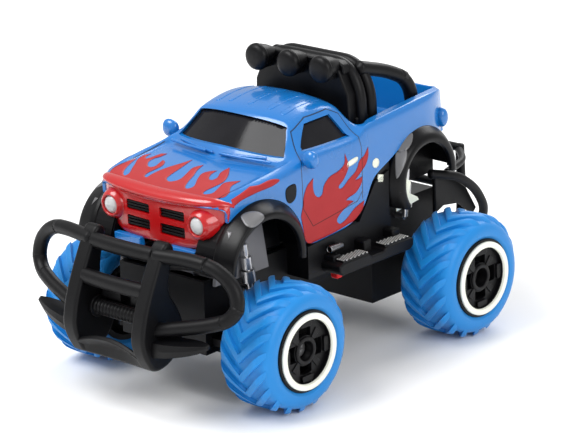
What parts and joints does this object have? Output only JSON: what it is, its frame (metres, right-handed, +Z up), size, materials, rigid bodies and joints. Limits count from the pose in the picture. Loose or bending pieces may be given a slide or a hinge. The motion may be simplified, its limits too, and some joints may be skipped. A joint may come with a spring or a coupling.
{
  "type": "rc monster truck",
  "caption": "Small radio controlled monster truck: pickup shell with flares, roll bar and lamps over a geared, steerable chassis on big chevron tyres.",
  "frame": {"origin": "on the ground under the middle of the truck's bounding box", "axes": "+X towards the truck's left side, +Y from the front bumper to the rear bumper, +Z up"},
  "size_m": [0.0904, 0.1446, 0.0888],
  "materials": {
    "body_paint": "glossy painted shell",
    "tinted_window": "dark tinted clear plastic",
    "black_plastic": "satin moulded plastic",
    "grey_plastic": "satin moulded plastic",
    "blue_tyre": "soft coloured rubber",
    "trim_white": "glossy off-white plastic",
    "silver_plate": "silver coating on plastic",
    "lamp_clear": "frosted translucent plastic",
    "steel": "turned steel",
    "motor_can": "zinc plated can",
    "brass": "turned brass",
    "gear_plastic": "natural acetal",
    "battery_wrap": "printed metal sleeve, left plain",
    "contact_metal": "plated spring metal",
    "board_green": "solder mask",
    "wire_red": "insulated lead",
    "red_plastic": "glossy moulded plastic"
  },
  "bodies": {
    "root": {"body_shell": "body_paint", "window_insert": "tinted_window", "grille_insert": "black_plastic", "headlight_lenses": "lamp_clear", "headlight_leds": "lamp_clear", "front_flares": "black_plastic", "rear_flares": "black_plastic", "roll_bar": "black_plastic", "roof_lamps": "black_plastic", "front_bumper": "black_plastic", "front_winch": "black_plastic", "rear_bumper": "black_plastic", "chassis_tub": "black_plastic", "side_steps": "black_plastic", "step_treads": "silver_plate", "exhaust_pipes": "silver_plate", "batteries": "battery_wrap", "battery_contacts": "contact_metal", "circuit_board": "board_green", "switch_body": "black_plastic", "front_axle_beam": "black_plastic", "kingpins": "steel", "steering_motor": "motor_can", "steering_housing": "black_plastic", "front_tower": "grey_plastic", "front_dampers": "grey_plastic", "rear_dampers": "grey_plastic", "axle_bushes": "brass", "idler_shaft": "steel", "drive_motor": "motor_can", "gearbox_lower": "black_plastic", "gearbox_upper": "black_plastic", "body_screws": "steel", "wiring": "wire_red"},
    "knuckle_left": {"knuckle_left": "black_plastic", "wheel_screw_left": "steel"},
    "knuckle_right": {"knuckle_right": "black_plastic", "wheel_screw_right": "steel"},
    "tie_rod": {"tie_rod": "black_plastic"},
    "steering_pinion": {"steering_pinion": "gear_plastic"},
    "front_wheel_left": {"front_tyre_left": "blue_tyre", "front_rim_left": "black_plastic", "front_trim_ring_left": "trim_white"},
    "front_wheel_right": {"front_tyre_right": "blue_tyre", "front_rim_right": "black_plastic", "front_trim_ring_right": "trim_white"},
    "rear_axle": {"rear_axle": "steel", "axle_gear": "gear_plastic", "rear_tyre_left": "blue_tyre", "rear_rim_left": "black_plastic", "rear_trim_ring_left": "trim_white", "rear_tyre_right": "blue_tyre", "rear_rim_right": "black_plastic", "rear_trim_ring_right": "trim_white"},
    "idler": {"idler_gear": "gear_plastic"},
    "motor_pinion": {"motor_pinion": "brass"},
    "switch": {"switch_knob": "red_plastic"},
    "battery_cover": {"battery_cover": "black_plastic", "cover_screw": "steel"}
  },
  "joints": [
    {"name": "steer_left", "type": "hinge", "parent": "root", "child": "knuckle_left", "pos_m": [0.021, -0.0353, 0.0185], "axis": [0, 0, 1], "range_deg": [-20, 20]},
    {"name": "steer_right", "type": "hinge", "parent": "root", "child": "knuckle_right", "pos_m": [-0.021, -0.0353, 0.0185], "axis": [0, 0, 1], "range_deg": [-21, 21]},
    {"name": "tie_rod_slide", "type": "slide", "parent": "root", "child": "tie_rod", "axis": [1, 0, 0], "range_m": [-0.0026, 0.0026]},
    {"name": "steering_pinion_turn", "type": "hinge", "parent": "root", "child": "steering_pinion", "pos_m": [0, -0.03658, 0.018], "axis": [0, 0, 1], "range_deg": [-48, 48]},
    {"name": "front_left_spin", "type": "hinge", "parent": "knuckle_left", "child": "front_wheel_left", "pos_m": [0.0348, -0.0353, 0.0185], "axis": [1, 0, 0], "continuous": true},
    {"name": "front_right_spin", "type": "hinge", "parent": "knuckle_right", "child": "front_wheel_right", "pos_m": [-0.0348, -0.0353, 0.0185], "axis": [1, 0, 0], "continuous": true},
    {"name": "rear_axle_spin", "type": "hinge", "parent": "root", "child": "rear_axle", "pos_m": [0, 0.0419, 0.0185], "axis": [1, 0, 0], "continuous": true},
    {"name": "idler_spin", "type": "hinge", "parent": "root", "child": "idler", "pos_m": [0.011, 0.03511, 0.02362], "axis": [1, 0, 0], "continuous": true},
    {"name": "motor_pinion_spin", "type": "hinge", "parent": "root", "child": "motor_pinion", "pos_m": [0.011, 0.03193, 0.0315], "axis": [1, 0, 0], "continuous": true},
    {"name": "power_switch", "type": "slide", "parent": "root", "child": "switch", "axis": [0, 1, 0], "range_m": [0, 0.0026]},
    {"name": "battery_cover_hinge", "type": "hinge", "parent": "root", "child": "battery_cover", "pos_m": [0, 0.0203, 0.02457], "axis": [1, 0, 0], "range_deg": [0, 28]}
  ],
  "couplings": [
    {"joint": "steer_right", "follows": "steer_left", "ratio": 1},
    {"joint": "tie_rod_slide", "follows": "steer_left", "m_per_rad": 0.007},
    {"joint": "steering_pinion_turn", "follows": "steer_left", "ratio": 2.3333},
    {"joint": "idler_spin", "follows": "rear_axle_spin", "ratio": -2.4},
    {"joint": "motor_pinion_spin", "follows": "rear_axle_spin", "ratio": 7.8}
  ]
}
